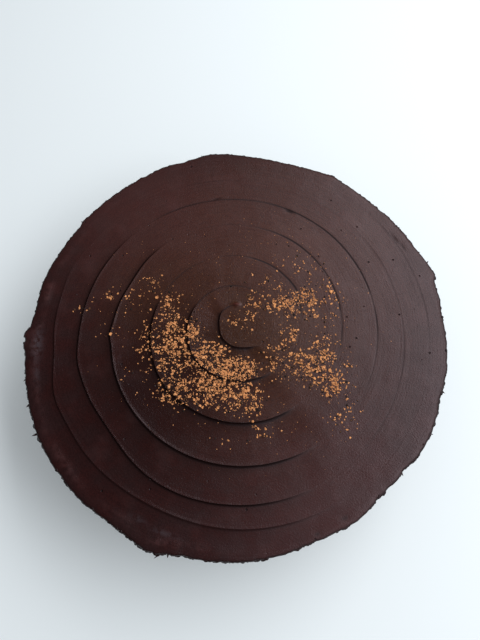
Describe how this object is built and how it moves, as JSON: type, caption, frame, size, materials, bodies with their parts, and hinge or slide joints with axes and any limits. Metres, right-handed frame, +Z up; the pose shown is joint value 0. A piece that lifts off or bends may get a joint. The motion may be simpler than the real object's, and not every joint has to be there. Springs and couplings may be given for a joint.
{
  "type": "chocolate cake",
  "caption": "Whole round chocolate layer cake, its dark frosting swept into a low spiral on top and sprinkled with cocoa crumbs, standing on its flat base.",
  "frame": {"origin": "middle of the base, on the surface that the cake stands on", "axes": "+Z up through the cake, +X to the right and +Y away from the viewer in the picture"},
  "size_m": [0.221, 0.2212, 0.0588],
  "materials": {
    "frosting": "satin",
    "cocoa": "matte"
  },
  "bodies": {
    "root": {"frosted_cake": "frosting"}
  },
  "joints": []
}
